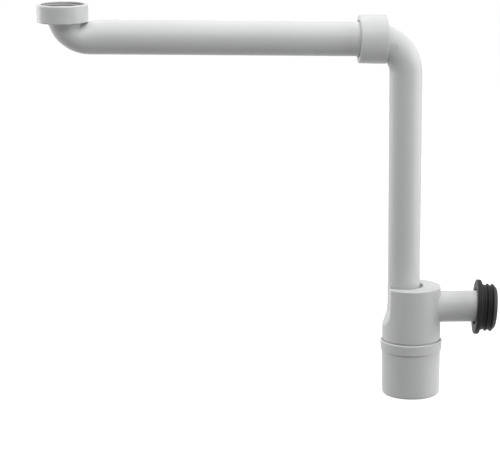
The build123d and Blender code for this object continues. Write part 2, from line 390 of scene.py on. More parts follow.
@dataclass(frozen=True)
class Layout:
    """Axes, heights and radii that the pieces share, in millimetres and degrees."""

    inlet_to_drop: float = 332.0
    mouth_to_arm: float = 31.5
    fall: float = 1.3
    arm_to_roof: float = 245.8
    trap_offset: float = 8.2
    trap_turn: float = 29.0
    roof_to_foot: float = 60.5
    recess_depth: float = 20.0
    outlet_below: float = 21.3
    outlet_length: float = 81.4
    body_swivel: float = 4.0
    drum_radius: float = 29.0
    neck_radius: float = 26.3
    neck_length: float = 11.7
    spigot_radius: float = 15.5
    groove_below: float = 17.0
    groove_height: float = 6.0

    @property
    def slope(self) -> float:
        """Fall of the arm, in radians."""
        return math.radians(self.fall)

    @property
    def swivel(self) -> float:
        """Angle by which the outlet and the flat opposite are turned to the front."""
        return math.radians(self.body_swivel)

    @property
    def crossing_z(self) -> float:
        """Height where the arm's axis meets the drop pipe's."""
        return -self.mouth_to_arm - self.inlet_to_drop * math.tan(self.slope)

    @property
    def roof_z(self) -> float:
        """Height of the trap's roof."""
        return self.crossing_z - self.arm_to_roof

    @property
    def foot_z(self) -> float:
        """Height of the body's foot."""
        return self.roof_z - self.roof_to_foot

    @property
    def trap_x(self) -> float:
        """Place of the trap's axis along X."""
        turn = math.radians(self.trap_turn)
        return self.inlet_to_drop + self.trap_offset * math.cos(turn)

    @property
    def trap_y(self) -> float:
        """Place of the trap's axis along Y."""
        return -self.trap_offset * math.sin(math.radians(self.trap_turn))

    @property
    def groove_top(self) -> float:
        """Height of the upper side of the socket's ring groove."""
        return self.roof_z - self.recess_depth - self.groove_below


@dataclass(frozen=True)
class TurningAxis:
    """Straight axis that a piece is turned about.

    Attributes:
        origin: Point on the axis where heights start, in millimetres.
        along: Unit vector, the way that heights grow.
        side: Unit vector across the axis, a quarter turn on from where a turn starts.
    """

    origin: tuple[float, float, float]
    along: tuple[float, float, float] = (0.0, 0.0, 1.0)
    side: tuple[float, float, float] = (0.0, 1.0, 0.0)

    def directions(self) -> tuple[np.ndarray, np.ndarray, np.ndarray]:
        """Finds the axis's own directions.

        Returns:
            Two unit vectors across the axis and the one along it, right-handed.
        """
        along, side = np.array(self.along), np.array(self.side)
        return np.cross(side, along), side, along

    def crossing(self, point: np.ndarray, upright: np.ndarray) -> np.ndarray:
        """Finds where the axis crosses a plane.

        Args:
            point: Point of the plane, in millimetres.
            upright: Unit vector square to the plane.

        Returns:
            The crossing, in millimetres.
        """
        origin, along = np.array(self.origin), np.array(self.along)
        return origin + along * ((point - origin) @ upright / (along @ upright))


def inlet_axis() -> TurningAxis:
    """Returns the inlet's axis, with heights from the nut's mouth."""
    return TurningAxis((0.0, 0.0, 0.0))


def drop_axis(layout: Layout) -> TurningAxis:
    """Returns the drop pipe's axis, with heights from the frame's origin."""
    return TurningAxis((layout.inlet_to_drop, 0.0, 0.0))


def trap_axis(layout: Layout) -> TurningAxis:
    """Returns the trap's axis, with heights from the frame's origin."""
    return TurningAxis((layout.trap_x, layout.trap_y, 0.0))


def arm_axis(layout: Layout) -> TurningAxis:
    """Returns the arm's axis, with heights from the drop pipe's axis towards the inlet."""
    along = (-math.cos(layout.slope), 0.0, math.sin(layout.slope))
    return TurningAxis((layout.inlet_to_drop, 0.0, layout.crossing_z), along)


def outlet_axis(layout: Layout) -> TurningAxis:
    """Returns the outlet's axis, with heights from the trap's axis outwards."""
    along = (math.cos(layout.swivel), -math.sin(layout.swivel), 0.0)
    side = (math.sin(layout.swivel), math.cos(layout.swivel), 0.0)
    height = layout.roof_z - layout.outlet_below
    return TurningAxis((layout.trap_x, layout.trap_y, height), along, side)


@dataclass(frozen=True)
class SideFlat:
    """Flat with a flared foot that presses in the left side of an upright turned piece.

    Attributes:
        middle: Point on the upright line that its distance is measured from.
        swivel: Radians by which it is turned away from facing left, to the back.
        reach: Distance of the flat from that line.
        top: Height of its upper edge.
        flare_top: Height where it starts to flare out.
        flare_radius: Radius of the flare.
        top_round: Rounding of its upper edge.
        soft: Width over which its other edges are rounded.
    """

    middle: tuple[float, float]
    swivel: float
    reach: float
    top: float
    flare_top: float
    flare_radius: float
    top_round: float = 0.8
    soft: float = 1.6

    def limit(self, height: float) -> float:
        """Finds the flat's distance from its line at a height.

        Args:
            height: The height.

        Returns:
            The distance, infinite below the flare.
        """
        below = self.flare_top - height
        if below >= self.flare_radius:
            return math.inf
        into_round = height - (self.top - self.top_round)
        if into_round > 0:
            into_round = min(into_round, self.top_round)
            fall = math.sqrt(self.top_round**2 - into_round**2)
            return self.reach - self.top_round + fall
        flare = self.flare_radius - math.sqrt(self.flare_radius**2 - max(below, 0.0) ** 2)
        return self.reach + flare

    def press(self, place: np.ndarray, skin: float) -> np.ndarray:
        """Moves a point that lies outside the flat on to it, with a rounded edge.

        Args:
            place: The point.
            skin: Distance that the point's surface keeps inside the flat.

        Returns:
            The point where it then lies.
        """
        limit = self.limit(place[2]) - skin
        if limit == math.inf:
            return place
        out = np.array((-math.cos(self.swivel), math.sin(self.swivel), 0.0))
        far = (place[:2] - self.middle) @ out[:2]
        near = max(self.soft - abs(far - limit), 0.0) / self.soft
        return place + (min(far, limit) - near**2 * self.soft / 4 - far) * out


@dataclass(frozen=True)
class Corner:
    """Corner of a section, in millimetres.

    Attributes:
        radius: Distance from the axis.
        height: Height along the axis.
        rounding: Radius that softens the corner.
        rows: Rows of faces on the way to the next corner.
        groove: Share of a thread's depth on that way, outwards from the axis.
        core: Whether its ring lies round the piece's core axis.
        skin: Distance that its ring keeps inside the piece's flat.
    """

    radius: float
    height: float
    rounding: float = 0.2
    rows: int = 1
    groove: float = 0.0
    core: bool = False
    skin: float = 0.0


@dataclass(frozen=True)
class ScrewThread:
    """Right-handed thread that pushes a wall out along a helix.

    A male thread stands out where a female one of the same pitch is cut, so the two mesh.

    Attributes:
        pitch: Height of one turn, in millimetres.
        depth: Height of the thread, in millimetres.
        flank_low: Share of half a pitch where a flank starts.
        flank_high: Share of half a pitch where it ends.
    """

    pitch: float
    depth: float
    flank_low: float
    flank_high: float

    def tree(self) -> bpy.types.NodeTree:
        """Makes the geometry nodes that cut the thread.

        Returns:
            Node tree with named inputs for the thread's sizes and its material.
        """
        tree = bpy.data.node_groups.new("screw_thread", "GeometryNodeTree")
        face = tree.interface
        face.new_socket("Geometry", in_out="INPUT", socket_type="NodeSocketGeometry")
        for name in ("Pitch", "Depth", "Flank Low", "Flank High"):
            face.new_socket(name, in_out="INPUT", socket_type="NodeSocketFloat")
        face.new_socket("Material", in_out="INPUT", socket_type="NodeSocketMaterial")
        face.new_socket("Geometry", in_out="OUTPUT", socket_type="NodeSocketGeometry")
        given = add(tree, "NodeGroupInput").outputs
        read = {
            name: add(
                tree, "GeometryNodeInputNamedAttribute", {"Name": name}, data_type=kind
            ).outputs["Attribute"]
            for name, kind in (
                ("along", "FLOAT"),
                ("around", "FLOAT"),
                ("groove", "FLOAT"),
                ("outward", "FLOAT_VECTOR"),
            )
        }
        # Distance from the middle of the land, as a share of half a pitch.
        value = read["along"]
        for operation, values, links in (
            ("DIVIDE", {}, {1: given["Pitch"]}),
            ("SUBTRACT", {}, {1: read["around"]}),
            ("FRACT", {}, {}),
            ("MULTIPLY_ADD", {1: 2.0, 2: -1.0}, {}),
            ("ABSOLUTE", {}, {}),
        ):
            links[0] = value
            step = add(tree, "ShaderNodeMath", values, links, operation=operation)
            value = step.outputs[0]
        profile = add(
            tree,
            "ShaderNodeMapRange",
            {"To Min": 0.0, "To Max": 1.0},
            {
                "Value": value,
                "From Min": given["Flank Low"],
                "From Max": given["Flank High"],
            },
            interpolation_type="SMOOTHSTEP",
        )
        push = profile.outputs["Result"]
        for factor in (read["groove"], given["Depth"]):
            links = {0: push, 1: factor}
            step = add(tree, "ShaderNodeMath", links=links, operation="MULTIPLY")
            push = step.outputs[0]
        offset = add(
            tree,
            "ShaderNodeVectorMath",
            links={0: read["outward"], "Scale": push},
            operation="SCALE",
        )
        moved = add(
            tree,
            "GeometryNodeSetPosition",
            links={"Geometry": given["Geometry"], "Offset": offset.outputs[0]},
        )
        real = add(
            tree,
            "GeometryNodeRealizeInstances",
            links={"Geometry": moved.outputs["Geometry"]},
        )
        dressed = add(
            tree,
            "GeometryNodeSetMaterial",
            links={
                "Geometry": real.outputs["Geometry"],
                "Material": given["Material"],
            },
        )
        add(tree, "NodeGroupOutput", links={0: dressed.outputs["Geometry"]})
        return tree

    def cut(self, piece: bpy.types.Object, material: bpy.types.Material) -> None:
        """Cuts the thread in a piece whose mesh carries the thread's attributes.

        Args:
            piece: Object to cut; its mesh is replaced by the finished one.
            material: Material of the piece.
        """
        run_nodes(
            piece,
            self.tree(),
            {
                "Pitch": self.pitch * MM,
                "Depth": self.depth * MM,
                "Flank Low": self.flank_low,
                "Flank High": self.flank_high,
                "Material": material,
            },
        )


def run_nodes(
    piece: bpy.types.Object, tree: bpy.types.NodeTree, inputs: dict[str, object]
) -> None:
    """Runs a geometry node tree on an object and keeps the result as a plain mesh.

    Args:
        piece: Object that the tree works on.
        tree: The node tree.
        inputs: Value for each named input of the tree.
    """
    modifier = piece.modifiers.new(tree.name, "NODES")
    modifier.node_group = tree
    for item in tree.interface.items_tree:
        if item.item_type == "SOCKET" and item.in_out == "INPUT" and item.name in inputs:
            modifier[item.identifier] = inputs[item.name]
    graph = bpy.context.evaluated_depsgraph_get()
    mesh = bpy.data.meshes.new_from_object(
        piece.evaluated_get(graph), preserve_all_data_layers=True, depsgraph=graph
    )
    mesh.name = piece.name
    piece.modifiers.remove(modifier)
    piece.data = mesh


@dataclass
class Turning:
    """Closed shell of revolution with softened corners and exact normals.

    Attributes:
        name: Name of the piece.
        axis: Axis that it is turned about.
        corners: Section, counterclockwise with the radius to the right and the height up.
        columns: Faces round the axis.
        thread: Thread on the ways that carry a groove share.
        core: Axis of the rings that lie off the main one.
        flat: Flat that presses in its side.
    """

    name: str
    axis: TurningAxis
    corners: list[Corner]
    columns: int = 180
    thread: ScrewThread | None = None
    core: TurningAxis | None = None
    flat: SideFlat | None = None

    def softened_corner(self, number: int) -> list[tuple[np.ndarray, np.ndarray]]:
        """Rounds one corner of the section.

        Args:
            number: Number of the corner.

        Returns:
            Points of the section there, each with its outward normal.
        """
        corner = self.corners[number]
        before = self.corners[number - 1]
        after = self.corners[(number + 1) % len(self.corners)]
        here = np.array((corner.radius, corner.height))
        came = here - (before.radius, before.height)
        goes = np.array((after.radius, after.height)) - here
        came_length, goes_length = np.linalg.norm(came), np.linalg.norm(goes)
        came, goes = came / came_length, goes / goes_length
        lean_in = np.array((came[1], -came[0]))
        lean_out = np.array((goes[1], -goes[0]))
        if corner.radius == 0:
            return [(here, lean_out if after.radius > 0 else lean_in)]
        turn = math.atan2(came[0] * goes[1] - came[1] * goes[0], float(came @ goes))
        if abs(turn) < STRAIGHT:
            return [(here, lean_in)]
        half = math.tan(abs(turn) / 2)
        most = WAY_SHARE * min(came_length, goes_length)
        back = min(corner.rounding * half, most)
        radius = back / half
        side = math.copysign(1.0, turn)
        centre = here - came * back - side * radius * lean_in
        steps = max(FEWEST_STEPS, math.ceil(radius * abs(turn) / FACET))
        steps = min(MOST_STEPS, steps)
        found = []
        for step in range(steps + 1):
            angle = turn * step / steps
            cosine, sine = math.cos(angle), math.sin(angle)
            lean = np.array(
                (
                    cosine * lean_in[0] - sine * lean_in[1],
                    sine * lean_in[0] + cosine * lean_in[1],
                )
            )
            found.append((centre + side * radius * lean, lean))
        return found

    def section(self) -> tuple[np.ndarray, np.ndarray, np.ndarray, list[Corner]]:
        """Rounds the whole section and divides its ways into rows.

        Returns:
            Points, outward normals, groove shares and corners, one row for each ring.
        """
        softened = [self.softened_corner(n) for n in range(len(self.corners))]
        points, leans, grooves, owners = [], [], [], []
        for number, (corner, arc) in enumerate(zip(self.corners, softened)):
            for point, lean in arc:
                points.append(point)
                leans.append(lean)
                grooves.append(0.0)
                owners.append(corner)
            start, lean = arc[-1]
            end = softened[(number + 1) % len(softened)][0][0]
            for row in range(1, corner.rows):
                share = row / corner.rows
                points.append(start + (end - start) * share)
                leans.append(lean)
                runout = min(1.0, share / RUNOUT, (1 - share) / RUNOUT)
                grooves.append(corner.groove * runout)
                owners.append(corner)
        return np.array(points), np.array(leans), np.array(grooves), owners

    def build(self, material: bpy.types.Material) -> bpy.types.Object:
        """Makes the piece.

        Args:
            material: Material that it gets.

        Returns:
            The object, with its place in its mesh.
        """
        points, leans, grooves, owners = self.section()
        across, side, along = self.axis.directions()
        turns = np.arange(self.columns) / self.columns
        spokes = np.outer(np.cos(math.tau * turns), across)
        spokes += np.outer(np.sin(math.tau * turns), side)
        places, normals, facts, rings, shaped = [], [], [], [], []
        for point, lean, groove, owner in zip(points, leans, grooves, owners):
            rings.append(len(places))
            centre = np.array(self.axis.origin) + point[1] * along
            if owner.core and self.core is not None:
                centre = self.core.crossing(centre, along)
            for turn, spoke in zip(turns, spokes):
                turned = centre + point[0] * spoke
                place = turned if self.flat is None else self.flat.press(turned, owner.skin)
                places.append(place * MM)
                normals.append(lean[0] * spoke + lean[1] * along)
                facts.append((point[1] * MM, turn, groove, spoke))
                shaped.append(groove != 0 or abs(place - turned).max() > UNMOVED)
                if point[0] == 0:
                    break
        mesh = bpy.data.meshes.new(self.name)
        mesh.from_pydata([tuple(place) for place in places], [], self.faces(points, rings))
        mesh.shade_smooth()
        mesh.materials.append(material)
        piece = bpy.data.objects.new(self.name, mesh)
        bpy.context.scene.collection.objects.link(piece)
        if self.thread is not None:
            self.note_thread(mesh, facts)
            self.thread.cut(piece, material)
            for name in ("along", "around", "groove", "outward"):
                piece.data.attributes.remove(piece.data.attributes[name])
        self.set_normals(piece.data, normals, shaped)
        return piece

    def set_normals(
        self, mesh: bpy.types.Mesh, normals: list[np.ndarray], shaped: list[bool]
    ) -> None:
        """Gives each vertex the section's exact normal, but the mesh's own where it was shaped.

        Args:
            mesh: Mesh of the piece.
            normals: Exact normal of each vertex.
            shaped: Whether a thread or a flat has moved each vertex.
        """
        found = np.zeros(len(mesh.vertices) * 3, np.float32)
        mesh.vertices.foreach_get("normal", found)
        leaning = np.array(normals)
        leaning[shaped] = found.reshape(-1, 3)[shaped]
        mesh.normals_split_custom_set_from_vertices([tuple(n) for n in leaning])

    def faces(self, points: np.ndarray, rings: list[int]) -> list[tuple[int, ...]]:
        """Joins the rings of the section.

        Args:
            points: Points of the section.
            rings: First vertex of each ring.

        Returns:
            Faces that point outwards.
        """
        made: list[tuple[int, ...]] = []
        for number, first in enumerate(rings):
            after = (number + 1) % len(rings)
            second = rings[after]
            pole, next_pole = points[number][0] == 0, points[after][0] == 0
            if pole and next_pole:
                continue
            for column in range(self.columns):
                on = (column + 1) % self.columns
                if pole:
                    made.append((first, second + on, second + column))
                elif next_pole:
                    made.append((first + column, first + on, second))
                else:
                    made.append((first + column, first + on, second + on, second + column))
        return made

    def note_thread(self, mesh: bpy.types.Mesh, facts: list[tuple]) -> None:
        """Writes what the thread's nodes read on the mesh.

        Args:
            mesh: Mesh of the piece.
            facts: Height, turn, groove share and spoke of each vertex.
        """
        for name, column in (("along", 0), ("around", 1), ("groove", 2)):
            values = np.array([fact[column] for fact in facts], np.float32)
            mesh.attributes.new(name, "FLOAT", "POINT").data.foreach_set("value", values)
        spokes = np.array([fact[3] for fact in facts], np.float32)
        outward = mesh.attributes.new("outward", "FLOAT_VECTOR", "POINT")
        outward.data.foreach_set("vector", spokes.ravel())


def hand_over(piece: bpy.types.Object, body: Rides, slot: Slot, *nodes: str) -> None:
    """Gives a finished piece its body, and lets it stand for CAD nodes.

    Args:
        piece: The finished object.
        body: CAD body that it rides on.
        slot: Not used.
        nodes: CAD nodes that it stands for.
    """
    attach(piece, body.value)
    if nodes:
        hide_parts(*nodes)
    log.info(
        "%s rides on %s with %d faces", piece.name, body.value, len(piece.data.polygons)
    )


def washer(inner: float, outer: float, low: float, high: float, soft: float) -> list[Corner]:
    """Makes the section of a flat ring.

    Args:
        inner: Inner radius.
        outer: Outer radius.
        low: Lower height.
        high: Upper height.
        soft: Rounding of its edges.

    Returns:
        Corners of the section.
    """
    return [
        Corner(inner, low, soft),
        Corner(outer, low, soft),
        Corner(outer, high, soft),
        Corner(inner, high, soft),
    ]


def thread_sleeve(
    name: str,
    axis: TurningAxis,
    radius: float,
    span: tuple[float, float],
    rows: int,
    thread: ScrewThread,
) -> Turning:
    """Lays out a thin sleeve under the skin of a solid, whose thread stands out of it.

    Args:
        name: Name of the piece.
        axis: Axis of the solid.
        radius: Radius of the solid.
        span: Lowest and highest height of the sleeve.
        rows: Rows of faces along it.
        thread: The thread.

    Returns:
        The sleeve.
    """
    (low, high), skin, inner = span, radius - SLEEVE_SUNK, radius - SLEEVE_WALL
    corners = [
        Corner(inner, low, 0.1),
        Corner(skin, low, 0.1, rows=rows, groove=1.0),
        Corner(skin, high, 0.1),
        Corner(inner, high, 0.1),
    ]
    return Turning(name, axis, corners, columns=220, thread=thread)


@dataclass
class InletUnion:
    """Nut that screws on to the basin's waste, and the gasket under its thread."""

    nut_radius: float = 24.65
    nut_height: float = 17.3
    thread_radius: float = 20.95
    thread_end: float = -8.0
    relief: float = 0.4
    floor: float = 3.1
    hole_radius: float = 18.3
    top_round: float = 1.8
    bottom_round: float = 1.2
    gasket_inner: float = 14.0
    gasket_play: float = 0.65
    gasket_low: float = -11.0
    gasket_thickness: float = 2.5
    thread: ScrewThread = ScrewThread(2.309, 1.15, 0.3, 0.72)

    def nut(self) -> Turning:
        """Lays out the nut, with its thread cut inside.

        Returns:
            The nut.
        """
        floor_top = self.floor - self.nut_height
        relief = self.thread_radius + self.relief
        corners = [
            Corner(self.hole_radius, -self.nut_height, 0.5),
            Corner(self.nut_radius, -self.nut_height, self.bottom_round),
            Corner(self.nut_radius, 0.0, self.top_round),
            Corner(self.thread_radius, 0.0, 0.6, rows=72, groove=1.0),
            Corner(self.thread_radius, self.thread_end, 0.15),
            Corner(relief, self.thread_end, 0.15),
            Corner(relief, floor_top, 0.4),
            Corner(self.hole_radius, floor_top, 0.5),
        ]
        return Turning(
            "inlet_union_nut", inlet_axis(), corners, columns=240, thread=self.thread
        )

    def gasket(self) -> Turning:
        """Lays out the flat gasket.

        Returns:
            The gasket.
        """
        outer = self.thread_radius - self.gasket_play
        top = self.gasket_low + self.gasket_thickness
        corners = washer(self.gasket_inner, outer, self.gasket_low, top, 0.4)
        return Turning("inlet_flat_gasket", inlet_axis(), corners)


@dataclass
class CouplingJoint:
    """Nut, slip ring and cone seal that hold the arm in the drop pipe's socket."""

    layout: Layout
    arm_radius: float = 16.7
    nut_radius: float = 23.5
    nut_flare: float = 0.4
    nut_start: float = 19.9
    nut_end: float = 46.6
    shoulder: float = 3.6
    hole_gap: float = 1.9
    bore_radius: float = 20.6
    relief: float = 1.9
    relief_end: float = 33.5
    shoulder_round: float = 0.8
    mouth_round: float = 0.8
    hub_radius: float = 20.3
    socket_mouth: float = 41.0
    seal_tip: float = 37.3
    seal_end: float = 41.5
    seal_inner: float = 16.75
    seal_small: float = 16.9
    seal_large: float = 19.5
    seat_gap: float = 0.1
    slip_ring_end: float = 43.0
    slide_gap: float = 0.3
    hub_thread_start: float = 25.9
    hub_thread_stop: float = 40.2
    female: ScrewThread = ScrewThread(3.0, 0.95, 0.32, 0.68)
    male: ScrewThread = ScrewThread(3.0, 0.85, 0.48, 0.82)

    def nut(self) -> Turning:
        """Lays out the coupling nut, with its thread cut inside and a relieved skirt.

        Returns:
            The nut.
        """
        hole = self.arm_radius + self.hole_gap
        shoulder = self.nut_end - self.shoulder
        relief = self.bore_radius + self.relief
        corners = [
            Corner(relief, self.nut_start, 0.5),
            Corner(self.nut_radius + self.nut_flare, self.nut_start, self.mouth_round),
            Corner(self.nut_radius, self.nut_end, self.shoulder_round),
            Corner(hole, self.nut_end, 0.2),
            Corner(hole, shoulder, 0.2),
            Corner(self.bore_radius, shoulder, 0.2, rows=57, groove=1.0),
            Corner(self.bore_radius, self.relief_end, 0.2),
            Corner(relief, self.relief_end, 0.2),
        ]
        axis = arm_axis(self.layout)
        return Turning(
            "arm_coupling_nut", axis, corners, columns=240, thread=self.female
        )

    def hub_thread(self) -> Turning:
        """Lays out the thread that stands out of the drop pipe's hub.

        Returns:
            The thread on its sleeve.
        """
        span = self.hub_thread_start, self.hub_thread_stop
        axis = arm_axis(self.layout)
        return thread_sleeve("drop_hub_thread", axis, self.hub_radius, span, 96, self.male)

    def slip_ring(self) -> Turning:
        """Lays out the plain washer between the nut and the seal.

        Returns:
            The slip ring.
        """
        inner, axis = self.arm_radius + self.slide_gap, arm_axis(self.layout)
        corners = washer(
            inner, self.hub_radius, self.seal_end, self.slip_ring_end, 0.25
        )
        return Turning("coupling_slip_washer", axis, corners)

    def seal(self) -> Turning:
        """Lays out the cone seal.

        Returns:
            The seal.
        """
        corners = [
            Corner(self.seal_inner, self.seal_tip, 0.1),
            Corner(self.seal_small, self.seal_tip, 0.1),
            Corner(self.seal_large, self.socket_mouth + self.seat_gap, 0.15),
            Corner(self.seal_large, self.seal_end, 0.15),
            Corner(self.seal_inner, self.seal_end, 0.2),
        ]
        return Turning("coupling_cone_seal", arm_axis(self.layout), corners)


@dataclass
class BottomCup:
    """Cup with its collar, the flat seal on its seat and the neck's thread."""

    layout: Layout
    bore_gap: float = 0.3
    collar_gap: float = 0.35
    collar_wall: float = 1.3
    collar_lap: float = 6.3
    collar_height: float = 10.6
    collar_taper: float = 0.35
    collar_round: float = 0.8
    bevel_height: float = 0.95
    lip_land: float = 0.1
    lip_chamfer: float = 0.3
    relief_depth: float = 0.5
    relief_height: float = 0.9
    swell: float = 0.2
    draft: float = 0.65
    bore_draft: float = 0.5
    depth: float = 49.7
    floor: float = 2.5
    foot_round: float = 3.0
    inner_round: float = 2.0
    dish_radius: float = 21.0
    dish_slope: float = 0.6
    dish_depth: float = 0.5
    pip_radius: float = 1.6
    pip_height: float = 0.35
    seal_thickness: float = 2.0
    seal_gap: float = 0.85
    neck_thread_low: float = 10.9
    neck_thread_high: float = 2.4
    female: ScrewThread = ScrewThread(3.0, 0.75, 0.32, 0.68)
    male: ScrewThread = ScrewThread(3.0, 0.65, 0.48, 0.82)

    def cup(self) -> Turning:
        """Lays out the cup, with its thread cut inside and a dished underside.

        Returns:
            The cup.
        """
        foot = self.layout.foot_z
        top = foot + self.collar_lap
        low = top - self.collar_height
        under = foot - self.depth
        seat = foot - self.seal_thickness
        thread_end = foot - self.layout.neck_length
        bore = self.layout.neck_radius + self.bore_gap
        collar_bore = self.layout.drum_radius + self.collar_gap
        collar = collar_bore + self.collar_wall
        shoulder = self.layout.drum_radius + self.swell
        dish = under + self.dish_depth
        corners = [
            Corner(0.0, dish - self.pip_height),
            Corner(self.pip_radius, dish - self.pip_height, 0.3),
            Corner(self.pip_radius, dish, 0.3),
            Corner(self.dish_radius, dish, 0.6),
            Corner(self.dish_radius + self.dish_slope, under, 0.4),
            Corner(shoulder - self.draft, under, self.foot_round),
            Corner(shoulder, low - self.relief_height, 0.3),
            Corner(shoulder - self.relief_depth, low, 0.1),
            Corner(collar - self.collar_taper, low, self.collar_round),
            Corner(collar, top - self.bevel_height, 0.2),
            Corner(collar_bore + self.lip_land, top, 0.1),
            Corner(collar_bore, top - self.lip_chamfer, 0.1),
            Corner(collar_bore, seat, 0.2),
            Corner(bore, seat, 0.3, rows=64, groove=1.0),
            Corner(bore, thread_end, 0.3),
            Corner(bore - self.bore_draft, under + self.floor, self.inner_round),
            Corner(0.0, under + self.floor),
        ]
        axis = trap_axis(self.layout)
        return Turning("trap_bottom_cup", axis, corners, columns=240, thread=self.female)

    def neck_thread(self) -> Turning:
        """Lays out the thread that stands out of the body's neck.

        Returns:
            The thread on its sleeve.
        """
        foot, radius = self.layout.foot_z, self.layout.neck_radius
        span = foot - self.neck_thread_low, foot - self.neck_thread_high
        axis = trap_axis(self.layout)
        return thread_sleeve("body_neck_thread", axis, radius, span, 56, self.male)

    def seal(self) -> Turning:
        """Lays out the flat seal on the cup's seat.

        Returns:
            The seal.
        """
        inner = self.layout.neck_radius + self.seal_gap
        outer, foot = self.layout.drum_radius, self.layout.foot_z
        corners = washer(inner, outer, foot - self.seal_thickness, foot, 0.3)
        return Turning("cup_flat_seal", trap_axis(self.layout), corners)


@dataclass
class TrapBody:
    """Body with its side flat, well, socket and dip tube, and the outlet's spigot."""

    layout: Layout
    wall: float = 2.2
    roof_round: float = 0.8
    relief_low: float = 5.6
    relief_high: float = 7.7
    relief_depth: float = 1.1
    neck_wall: float = 2.0
    well_radius: float = 19.3
    well_wall: float = 1.2
    socket_radius: float = 16.3
    socket_wall: float = 3.9
    socket_depth: float = 39.0
    groove_radius: float = 18.2
    dip_bore: float = 13.7
    dip_wall: float = 2.0
    dip_length: float = 31.0
    flat_reach: float = 15.25
    flat_depth: float = 21.0
    flare_radius: float = 28.0
    core_skin: float = 0.4
    core_back_skin: float = 0.3
    chamber_skin: float = 0.2
    spigot_wall: float = 2.0
    spigot_start: float = 22.2

    def core_way(self) -> list[Corner]:
        """Makes the part of the section that lies round the drop pipe's axis.

        Returns:
            Corners from the well's rim down to the dip tube's end and up its outside.
        """
        roof = self.layout.roof_z
        well_floor = roof - self.layout.recess_depth
        groove = self.layout.groove_top
        groove_low = groove - self.layout.groove_height
        ledge = well_floor - self.socket_depth
        dip_end = ledge - self.dip_length
        inside = [
            (self.well_radius, roof, 0.3, 1),
            (self.well_radius, well_floor, 0.3, 1),
            (self.socket_radius, well_floor, 0.4, 1),
            (self.socket_radius, groove, 0.1, 1),
            (self.groove_radius, groove, 0.1, 1),
            (self.groove_radius, groove_low, 0.1, 1),
            (self.socket_radius, groove_low, 0.1, 12),
            (self.socket_radius, ledge, 0.2, 1),
            (self.dip_bore, ledge, 0.3, 1),
            (self.dip_bore, dip_end, 0.3, 1),
        ]
        well_outside = self.well_radius + self.well_wall
        socket_outside = self.socket_radius + self.socket_wall
        dip_outside = self.dip_bore + self.dip_wall
        under = well_floor - self.dip_wall
        outside = [
            (dip_outside, dip_end, 0.3, 1),
            (dip_outside, ledge - self.dip_wall, 0.2, 1),
            (socket_outside, ledge - self.dip_wall, 0.2, 20),
            (socket_outside, under, 0.1, 1),
            (well_outside, under, 0.1, 1),
            (well_outside, roof - self.wall, 0.1, 1),
        ]
        return [
            Corner(radius, height, soft, rows, core=True, skin=skin)
            for way, skin in ((inside, self.core_skin), (outside, self.core_back_skin))
            for radius, height, soft, rows in way
        ]

    def body(self) -> Turning:
        """Lays out the body, with the flat pressed in its side.

        Returns:
            The body.
        """
        roof, foot = self.layout.roof_z, self.layout.foot_z
        drum, neck = self.layout.drum_radius, self.layout.neck_radius
        neck_end = foot - self.layout.neck_length
        neck_bore, chamber = neck - self.neck_wall, drum - self.wall
        relieved = drum - self.relief_depth
        corners = [
            Corner(neck, neck_end, 0.5),
            Corner(neck, foot, 0.2),
            Corner(drum, foot, 0.3),
            Corner(drum, foot + self.relief_low, 0.1),
            Corner(relieved, foot + self.relief_low, 0.1),
            Corner(relieved, foot + self.relief_high, 0.1),
            Corner(drum, foot + self.relief_high, 0.2, rows=54),
            Corner(drum, roof, self.roof_round),
            *self.core_way(),
            Corner(chamber, roof - self.wall, 0.4, rows=30, skin=self.chamber_skin),
            Corner(chamber, foot + self.wall, 0.4, skin=self.chamber_skin),
            Corner(neck_bore, foot, 0.4, skin=self.chamber_skin),
            Corner(neck_bore, neck_end, 0.5),
        ]
        drop = drop_axis(self.layout)
        flat = SideFlat(
            drop.origin[:2],
            self.layout.swivel,
            self.flat_reach,
            roof,
            roof - self.flat_depth,
            self.flare_radius,
        )
        axis = trap_axis(self.layout)
        return Turning(
            "bottle_trap_body", axis, corners, columns=360, core=drop, flat=flat
        )

    def spigot(self) -> Turning:
        """Lays out the outlet's spigot.

        Returns:
            The spigot, which starts inside the body's wall.
        """
        outside, end = self.layout.spigot_radius, self.layout.outlet_length
        corners = washer(outside - self.spigot_wall, outside, self.spigot_start, end, 0.4)
        return Turning("outlet_spigot", outlet_axis(self.layout), corners)


@dataclass
class SocketRing:
    """Lip ring that seals the drop pipe in the body's socket."""

    layout: Layout
    lip_radius: float = 16.05
    outer_radius: float = 18.1
    seat_gap: float = 0.1
    lip_height: float = 2.0
    lip_droop: float = 1.0

    def ring(self) -> Turning:
        """Lays out the ring.

        Returns:
            The ring.
        """
        top = self.layout.groove_top - self.seat_gap
        low = top - self.layout.groove_height + 2 * self.seat_gap
        web = (self.lip_radius + self.outer_radius) / 2
        corners = [
            Corner(web, low, 0.3),
            Corner(self.outer_radius, low, 0.3),
            Corner(self.outer_radius, top, 0.3),
            Corner(web, top, 0.2),
            Corner(self.lip_radius, top - self.lip_droop, 0.2),
            Corner(self.lip_radius, top - self.lip_height - self.lip_droop, 0.2),
            Corner(web, top - self.lip_height, 0.2),
        ]
        return Turning("socket_lip_ring", drop_axis(self.layout), corners)


